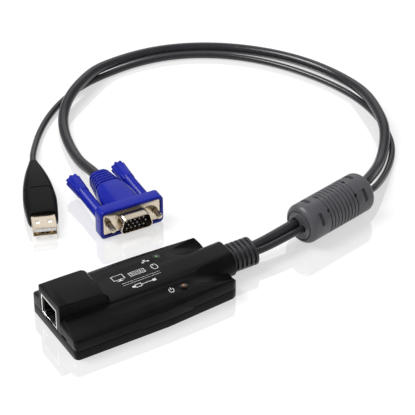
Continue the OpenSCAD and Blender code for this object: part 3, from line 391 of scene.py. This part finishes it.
finishes = {name: plasticFinish(name, setup) for name, setup in plasticFinishes.items()}
finishes.update({name: metalFinish(name, setup) for name, setup in metalFinishes.items()})
finishes.update({name: lensFinish(name, setup) for name, setup in lensFinishes.items()})
print("finishes mixed:", len(finishes))


def paint(piece, slotName):
    piece.data.materials.clear()
    piece.data.materials.append(finishes[slotName])


slotOf = {entry["node"]: entry["material_slot"] for entry in frame["record"]["subparts"]}
for nodeName, node in nodes.items():
    for materialSlot in node.material_slots:
        materialSlot.material = finishes[slotOf[nodeName]]


def smooth(mesh, under):
    mesh.polygons.foreach_set("use_smooth", [True] * len(mesh.polygons))
    mesh.set_sharp_from_angle(angle=math.radians(under))


def addPiece(name, shape, slotName, place=None, smoothUnder=30):
    if place:
        bmesh.ops.transform(shape, matrix=place, verts=shape.verts)
    mesh = bpy.data.meshes.new(name)
    shape.to_mesh(mesh)
    shape.free()
    smooth(mesh, smoothUnder)
    piece = bpy.data.objects.new(name, mesh)
    bpy.context.collection.objects.link(piece)
    if slotName:
        mesh.materials.append(finishes[slotName])
    return piece


# a node's own shape again, with its flats joined and its edges broken
edgeBreaks = {
    "top_cover": 0.35,
    "bottom_cover": 0.3,
    "strain_relief": 0.22,
    "ferrite_sleeve": 0.12,
    "video_shell": 0.12,
    "usb_shell": 0.12,
    "jack_shield": 0.12,
    "left_thumb_grip": 0.2,
    "right_thumb_grip": 0.2,
}
edgeRules = {
    "merge": 1e-6,
    "flatUnder": 0.4,
    "sharpOver": 38,
    "segments": 2,
    "smoothUnder": 32,
}


def sharpEdges(shape, over):
    return [e for e in shape.edges
            if len(e.link_faces) == 2 and e.calc_face_angle(0) > math.radians(over)]


def edgesAlongX(shape, longerThan):
    return [e for e in shape.edges if abs(e.verts[0].co.x - e.verts[1].co.x) > longerThan]


def bevel(shape, edges, offset, segments, **more):
    bmesh.ops.bevel(shape, geom=edges, offset=offset, segments=segments, profile=0.5,
                    affect="EDGES", material=-1, **more)


def breakEdges(nodeName, width):
    shape = bmesh.new()
    shape.from_mesh(nodes[nodeName].data)
    bmesh.ops.remove_doubles(shape, verts=shape.verts, dist=edgeRules["merge"])
    bmesh.ops.dissolve_limit(shape, angle_limit=math.radians(edgeRules["flatUnder"]),
                             verts=shape.verts, edges=shape.edges)
    bevel(shape, sharpEdges(shape, edgeRules["sharpOver"]), width * mm, edgeRules["segments"],
          offset_type="OFFSET", clamp_overlap=True)
    bmesh.ops.triangulate(shape, faces=shape.faces)
    piece = addPiece(nodeName + "_finished", shape, slotOf[nodeName],
                     smoothUnder=edgeRules["smoothUnder"])
    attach(piece, bodyOf[nodeName])
    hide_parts(nodeName)
    return piece


bodies = frame["record"]["behaviour"]["bodies"]
bodyOf = {name: body for body, held in bodies.items() for name in held}
finished = {nodeName: breakEdges(nodeName, width) for nodeName, width in edgeBreaks.items()}
print("edges broken on", len(finished), "pieces")


# a bar along X with rounded edges, whose rings take their place and size from a list of
# (x, half width, half height), from its front to its back
def shapedBar(stations, roundness, rings):
    shape = bmesh.new()
    bmesh.ops.create_cube(shape, size=2)
    bevel(shape, edgesAlongX(shape, 1), roundness, rings)
    bmesh.ops.subdivide_edges(shape, edges=edgesAlongX(shape, 1), cuts=len(stations) - 2,
                              use_grid_fill=True)
    for vert in shape.verts:
        place = (1 - vert.co.x) / 2 * (len(stations) - 1)
        x, halfWidth, halfHeight = stations[round(place)]
        vert.co = Vector((x, vert.co.y * halfWidth, vert.co.z * halfHeight)) * mm
    return shape


# smooth value at a place in a table of (place, value)
def between(table, place):
    last = len(table) - 1
    for i, ((start, low), (end, high)) in enumerate(zip(table, table[1:])):
        if place <= end:
            before, after = table[max(i - 1, 0)], table[min(i + 2, last)]
            span = end - start
            leaving = (high - before[1]) / (end - before[0]) * span
            arriving = (after[1] - low) / (after[0] - start) * span
            t = (place - start) / span
            return (low * (1 + 2 * t) * (1 - t) ** 2 + high * t * t * (3 - 2 * t)
                    + leaving * t * (1 - t) ** 2 - arriving * t * t * (1 - t))
    return table[last][1]


def cutBy(piece, cutter):
    cutting = piece.modifiers.new("cut", "BOOLEAN")
    cutting.operation = "DIFFERENCE"
    cutting.solver = "EXACT"
    cutting.object = cutter
    bpy.context.view_layer.update()
    result = piece.evaluated_get(bpy.context.evaluated_depsgraph_get())
    cutMesh = bpy.data.meshes.new_from_object(result)
    piece.modifiers.remove(cutting)
    piece.data = cutMesh
    bpy.data.objects.remove(cutter)


# the blue moulding of the video plug
hood = {
    "length": 38,
    "collarDepth": 6,
    "collarLip": 0.5,
    "collarWidth": 34.1,
    "collarHeight": 15.8,
    "collarRound": 2.4,
    "flange": (31.0, 12.7, 1.7),
    "bodyWidth": [(0, 9.2), (0.35, 8.9), (0.72, 6.7), (1, 5.5)],
    "bodyHeight": [(0, 7.1), (0.4, 6.9), (0.75, 5.9), (1, 5)],
    "ribs": 5,
    "ribPitch": 2.3,
    "ribDepth": 0.7,
    "ribProfile": [(0, 1), (0.12, 0.35), (0.26, 0), (0.6, 0.02), (0.76, 0.4), (0.88, 1)],
    "plainSteps": 14,
    "tailDent": 0.25,
    "inCollar": 0.6,
    "roundness": 0.72,
    "rings": 9,
    "smoothUnder": 40,
    "collarEdge": 0.5,
    "collarSmoothUnder": 35,
    "pocket": (-0.9, 2),
}


def makeHood():
    ribsLength = hood["ribs"] * hood["ribPitch"]
    bodyLength = hood["length"] - hood["collarDepth"]
    plain = bodyLength - ribsLength
    dents = [(plain * i / hood["plainSteps"], 0) for i in range(hood["plainSteps"])]
    dents += [(plain + (rib + share) * hood["ribPitch"], dent * hood["ribDepth"])
              for rib in range(hood["ribs"]) for share, dent in hood["ribProfile"]]
    dents.append((bodyLength, hood["tailDent"]))
    stations = [((hood["inCollar"] if x == 0 else 0) - hood["collarDepth"] - x,
                 between(hood["bodyWidth"], x / bodyLength) - dent,
                 between(hood["bodyHeight"], x / bodyLength) - dent) for x, dent in dents]
    body = shapedBar(stations, hood["roundness"], hood["rings"])
    return addPiece("video_hood_body", body, "blue_moulding", placing(videoPlug),
                    hood["smoothUnder"])


blockRules = {
    "cornerSegments": 8,
    "edgeSegments": 3,
    "rimOver": 60,
}


# a block along X with rounded corners, and with rounded rims where edge isn't zero
def roundedBlock(x0, x1, width, height, corner, edge):
    shape = bmesh.new()
    bmesh.ops.create_cube(shape, size=1)
    for vert in shape.verts:
        x = x0 + (vert.co.x + 0.5) * (x1 - x0)
        vert.co = Vector((x, vert.co.y * width, vert.co.z * height)) * mm
    along = edgesAlongX(shape, (x1 - x0) * mm / 2)
    bevel(shape, along, corner * mm, blockRules["cornerSegments"])
    if edge:
        rims = sharpEdges(shape, blockRules["rimOver"])
        bevel(shape, rims, edge * mm, blockRules["edgeSegments"])
    return shape


def makeCollar():
    shape = roundedBlock(-hood["collarDepth"], hood["collarLip"], hood["collarWidth"],
                         hood["collarHeight"], hood["collarRound"], hood["collarEdge"])
    piece = addPiece("video_hood_collar", shape, "blue_moulding", placing(videoPlug),
                     hood["collarSmoothUnder"])
    pocket = roundedBlock(*hood["pocket"], *hood["flange"], 0)
    cutBy(piece, addPiece("pocket", pocket, None, placing(videoPlug)))
    smooth(piece.data, hood["collarSmoothUnder"])
    return piece


hoodBody = makeHood()
hoodCollar = makeCollar()
for piece in (hoodBody, hoodCollar):
    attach(piece, "root")
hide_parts("video_hood")
finished["video_hood"] = hoodBody
print("hood shaped")


# the black moulding of the A-type plug
moulding = {
    "length": 59.6,
    "shellShows": 11.8,
    "cheeks": 5,
    "width": [(0, 6.7), (0.03, 7.3), (0.12, 7.85), (0.33, 8.4), (0.5, 7.75), (0.62, 6.9),
              (0.72, 5.9), (0.84, 4.4), (0.94, 2.9), (1, 2.1)],
    "height": [(0, 2.2), (0.03, 2.7), (0.12, 3.9), (0.35, 4.5), (0.55, 4.6), (0.72, 4.25),
               (0.88, 3.35), (0.96, 2.6), (1, 2.2)],
    "seam": 0.48,
    "seamDepth": 0.3,
    "seamReach": 0.005,
    "seamRings": (-0.008, -0.003, 0.003, 0.008),
    "steps": 46,
    "roundness": 0.62,
    "rings": 7,
    "smoothUnder": 40,
    "shellSpace": (4, 12.2, 12, 0.2),
}


def makeMoulding():
    start = moulding["shellShows"] - moulding["cheeks"]
    length = moulding["length"] - start
    shares = [i / moulding["steps"] for i in range(moulding["steps"] + 1)]
    shares += [moulding["seam"] + step for step in moulding["seamRings"]]
    stations = []
    for share in sorted(shares):
        inSeam = abs(share - moulding["seam"]) < moulding["seamReach"]
        dent = moulding["seamDepth"] if inSeam else 0
        stations.append((-start - share * length, between(moulding["width"], share) - dent,
                         between(moulding["height"], share) - dent))
    shape = shapedBar(stations, moulding["roundness"], moulding["rings"])
    piece = addPiece("a_type_moulding", shape, "usb_moulding", placing(aPlug),
                     moulding["smoothUnder"])
    shellSpace = roundedBlock(-moulding["shellShows"], *moulding["shellSpace"], 0)
    cutBy(piece, addPiece("shell_space", shellSpace, None, placing(aPlug)))
    smooth(piece.data, moulding["smoothUnder"])
    return piece


aMoulding = makeMoulding()
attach(aMoulding, "root")
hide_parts("usb_overmould")
finished["usb_overmould"] = aMoulding
print("A-type moulding shaped")


# light grey signs on the top cover, laid on its arch
prints = {
    "crown": 14,
    "edgeHeight": 9.8,
    "halfWidth": 22,
    "lift": 0.02,
    "thick": 0.04,
    "line": 0.34,
    "shades": ((0.5, 0.5, 0.5), (0.62, 0.62, 0.62)),
    "mottle": 0.6,
    "rough": (0.42, 0.1),
    "level": 0.4,
}

# each sign from its own middle: outlined frames and filled bars as (x, y, width, height),
# arcs as (x, y, radius, start, sweep, steps)
line = prints["line"]
signs = {
    "screen": dict(at=(-8.6, 7), frames=[(0, 0, 6, 4.2)],
                   bars=[(0, -2.55, 1, 0.9), (0, -3.15, 3.4, line)]),
    "keys": dict(at=(1, 5.9), frames=[(0, 0, 8.2, 3.4)],
                 bars=[((key - 2.5) * 1.15, 0.55 - row * 1.05, 0.7, 0.5)
                       for row in range(2) for key in range(6)]),
    "mouse": dict(at=(10.2, 5.75), arcs=[(0, 0.85, 1.5, 0, 180, 16), (0, -0.85, 1.5, 180, 180, 16)],
                  bars=[(-1.33, 0, line, 1.7), (1.33, 0, line, 1.7), (0, 1.45, line, 1.1)]),
    "rules": dict(at=(0.5, 0.5), bars=[(0, 0.7, 20, 0.16), (0, -0.7, 20, 0.16)]),
    "plug": dict(at=(-3.2, -3.2), frames=[(0, 0, 3.4, 2.2)],
                 bars=[(-2.4, 0, 1.4, 1.2), (4.6, 0, 5.8, line), (8.4, 0, 1.8, 1.5)]),
    "power": dict(at=(8.9, -12.8), arcs=[(0, 0, 1.35, 125, 290, 24)], bars=[(0, 0.95, line, 1.5)]),
    "network": dict(at=(8.9, 12.8), bars=[(0, 0.9, 1.1, 0.9), (0, 0.1, line, 0.8),
                                          (0, -0.25, 3.1, line), (-1.4, -0.9, 1.1, 0.9),
                                          (1.4, -0.9, 1.1, 0.9)]),
}


def printFinish():
    finish = Finish("cover_print")
    rough, spread = prints["rough"]
    finish.set(colour=finish.blend(finish.noise(prints["mottle"]), *prints["shades"]),
               rough=finish.noise(prints["mottle"]) * spread + rough, level=prints["level"])
    return finish.material


def archHeight(y):
    rise = prints["crown"] - prints["edgeHeight"]
    radius = (rise ** 2 + prints["halfWidth"] ** 2) / (2 * rise)
    return prints["crown"] - radius + math.sqrt(radius ** 2 - y ** 2)


def bar(shape, x, y, width, height):
    made = bmesh.ops.create_grid(shape, x_segments=1, y_segments=1, size=0.5)
    bmesh.ops.scale(shape, vec=(width, height, 1), verts=made["verts"])
    bmesh.ops.translate(shape, vec=(x, y, 0), verts=made["verts"])


def outline(shape, x, y, width, height):
    for side in (-1, 1):
        bar(shape, x + side * (width - line) / 2, y, line, height)
        bar(shape, x, y + side * (height - line) / 2, width - 2 * line, line)


def arc(shape, x, y, radius, start, sweep, steps):
    before = set(shape.verts)
    turn = math.radians(start)
    ends = [shape.verts.new((r * math.cos(turn), r * math.sin(turn), 0))
            for r in (radius - line, radius)]
    edge = shape.edges.new(ends)
    bmesh.ops.spin(shape, geom=ends + [edge], cent=(0, 0, 0), axis=(0, 0, 1),
                   angle=math.radians(sweep), steps=steps)
    fresh = [v for v in shape.verts if v not in before]
    bmesh.ops.translate(shape, vec=(x, y, 0), verts=fresh)


def makePrints():
    shape = bmesh.new()
    for sign in signs.values():
        middleX, middleY = sign["at"]
        for draw, key in ((outline, "frames"), (bar, "bars"), (arc, "arcs")):
            for x, y, *sizes in sign.get(key, []):
                draw(shape, middleX + x, middleY + y, *sizes)
    bmesh.ops.recalc_face_normals(shape, faces=shape.faces)
    bmesh.ops.solidify(shape, geom=shape.faces[:], thickness=prints["thick"])
    low = min(v.co.z for v in shape.verts)
    for vert in shape.verts:
        height = archHeight(vert.co.y) + vert.co.z - low + prints["lift"] - prints["thick"] / 2
        vert.co = Vector((vert.co.x, vert.co.y, height)) * mm
    bmesh.ops.recalc_face_normals(shape, faces=shape.faces)
    piece = addPiece("cover_print", shape, None)
    piece.data.materials.append(printFinish())
    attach(piece, "root")


makePrints()
print("cover printed")


# cords take their finish and body, and the CAD cords are hidden
def declareCord(cord, nodeName):
    paint(cord, "cord_jacket")
    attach(cord, "root")
    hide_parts(nodeName)


declareCord(thickCord, "video_cord")
declareCord(slimCord, "usb_cord")


# studio: floor, backdrop and lamps
studio = {
    "floorSize": 6,
    "floorDrop": 0.05,
    "floorColour": (0.9, 0.9, 0.9, 1),
    "floorRough": 0.03,
    "floorGloss": 0.42,
    "floorGlow": 0.58,
    "sky": 0.5,
    "mirroredSky": 0.24,
    "mirroredCard": 1.0,
    "cardFades": (0.86, 0.965),
    "lampsAim": (60, 80, 0),
}


def makeFloor():
    shape = bmesh.new()
    bmesh.ops.create_grid(shape, x_segments=1, y_segments=1, size=studio["floorSize"])
    mesh = bpy.data.meshes.new("floor")
    shape.to_mesh(mesh)
    shape.free()
    floor = bpy.data.objects.new("floor", mesh)
    floor.location.z = -studio["floorDrop"] * mm
    bpy.context.collection.objects.link(floor)
    material = bpy.data.materials.new("floor")
    material.use_nodes = True
    tree = material.node_tree
    tree.nodes.clear()
    matte = tree.nodes.new("ShaderNodeBsdfDiffuse")
    matte.inputs["Color"].default_value = studio["floorColour"]
    gloss = tree.nodes.new("ShaderNodeBsdfGlossy")
    gloss.inputs["Color"].default_value = (1, 1, 1, 1)
    gloss.inputs["Roughness"].default_value = studio["floorRough"]
    glow = tree.nodes.new("ShaderNodeEmission")
    rays = tree.nodes.new("ShaderNodeLightPath")
    seen = tree.nodes.new("ShaderNodeMath")
    seen.operation = "MAXIMUM"
    share = tree.nodes.new("ShaderNodeMath")
    share.operation = "MULTIPLY"
    share.inputs[1].default_value = studio["floorGlow"]
    polish = tree.nodes.new("ShaderNodeMixShader")
    polish.inputs[0].default_value = studio["floorGloss"]
    mix = tree.nodes.new("ShaderNodeMixShader")
    output = tree.nodes.new("ShaderNodeOutputMaterial")
    tree.links.new(rays.outputs["Is Camera Ray"], seen.inputs[0])
    tree.links.new(rays.outputs["Is Glossy Ray"], seen.inputs[1])
    tree.links.new(seen.outputs[0], share.inputs[0])
    tree.links.new(matte.outputs[0], polish.inputs[1])
    tree.links.new(gloss.outputs[0], polish.inputs[2])
    tree.links.new(share.outputs[0], mix.inputs[0])
    tree.links.new(polish.outputs[0], mix.inputs[1])
    tree.links.new(glow.outputs[0], mix.inputs[2])
    tree.links.new(mix.outputs[0], output.inputs[0])
    mesh.materials.append(material)


# the fill is too large to be mirrored in the floor
lamps = {
    "key": dict(place=(-0.55, 0.45, 1.2), size=0.7, power=19, mirrored=True),
    "fill": dict(place=(0.9, -0.9, 1.1), size=1.2, power=5, mirrored=False),
}


def makeLamps():
    middle = Vector(studio["lampsAim"]) * mm
    for name, setup in lamps.items():
        data = bpy.data.lights.new(name, "AREA")
        data.size = setup["size"]
        data.energy = setup["power"]
        lamp = bpy.data.objects.new(name, data)
        lamp.location = setup["place"]
        lamp.rotation_euler = (middle - lamp.location).to_track_quat("-Z", "Y").to_euler()
        lamp.visible_glossy = setup["mirrored"]
        bpy.context.collection.objects.link(lamp)
    world = bpy.data.worlds.new("studio")
    bpy.context.scene.world = world
    world.use_nodes = True
    tree = world.node_tree
    # shiny faces see a dark room and one white card, where the floor mirrors the main view
    view = (Vector(cameraSetup["lookAt"]) - Vector(cameraSetup["place"])).normalized()
    look = tree.nodes.new("ShaderNodeTexCoord")
    toCard = tree.nodes.new("ShaderNodeVectorMath")
    toCard.operation = "DOT_PRODUCT"
    toCard.inputs[1].default_value = (view.x, view.y, -view.z)
    card = tree.nodes.new("ShaderNodeMapRange")
    card.interpolation_type = "SMOOTHSTEP"
    fades = dict(zip(("From Min", "From Max", "To Min", "To Max"),
                     (*studio["cardFades"], studio["mirroredSky"], studio["mirroredCard"])))
    for socket, value in fades.items():
        card.inputs[socket].default_value = value
    rays = tree.nodes.new("ShaderNodeLightPath")
    level = tree.nodes.new("ShaderNodeMix")
    level.inputs["A"].default_value = studio["sky"]
    bright = tree.nodes.new("ShaderNodeMath")
    bright.operation = "MAXIMUM"
    backdrop = tree.nodes["Background"]
    backdrop.inputs["Color"].default_value = (1, 1, 1, 1)
    tree.links.new(look.outputs["Generated"], toCard.inputs[0])
    tree.links.new(toCard.outputs["Value"], card.inputs["Value"])
    tree.links.new(rays.outputs["Is Glossy Ray"], level.inputs["Factor"])
    tree.links.new(card.outputs[0], level.inputs["B"])
    tree.links.new(level.outputs[0], bright.inputs[0])
    tree.links.new(rays.outputs["Is Camera Ray"], bright.inputs[1])
    tree.links.new(bright.outputs[0], backdrop.inputs["Strength"])


makeFloor()
makeLamps()
bpy.context.scene.view_settings.view_transform = "Standard"
print("studio ready")
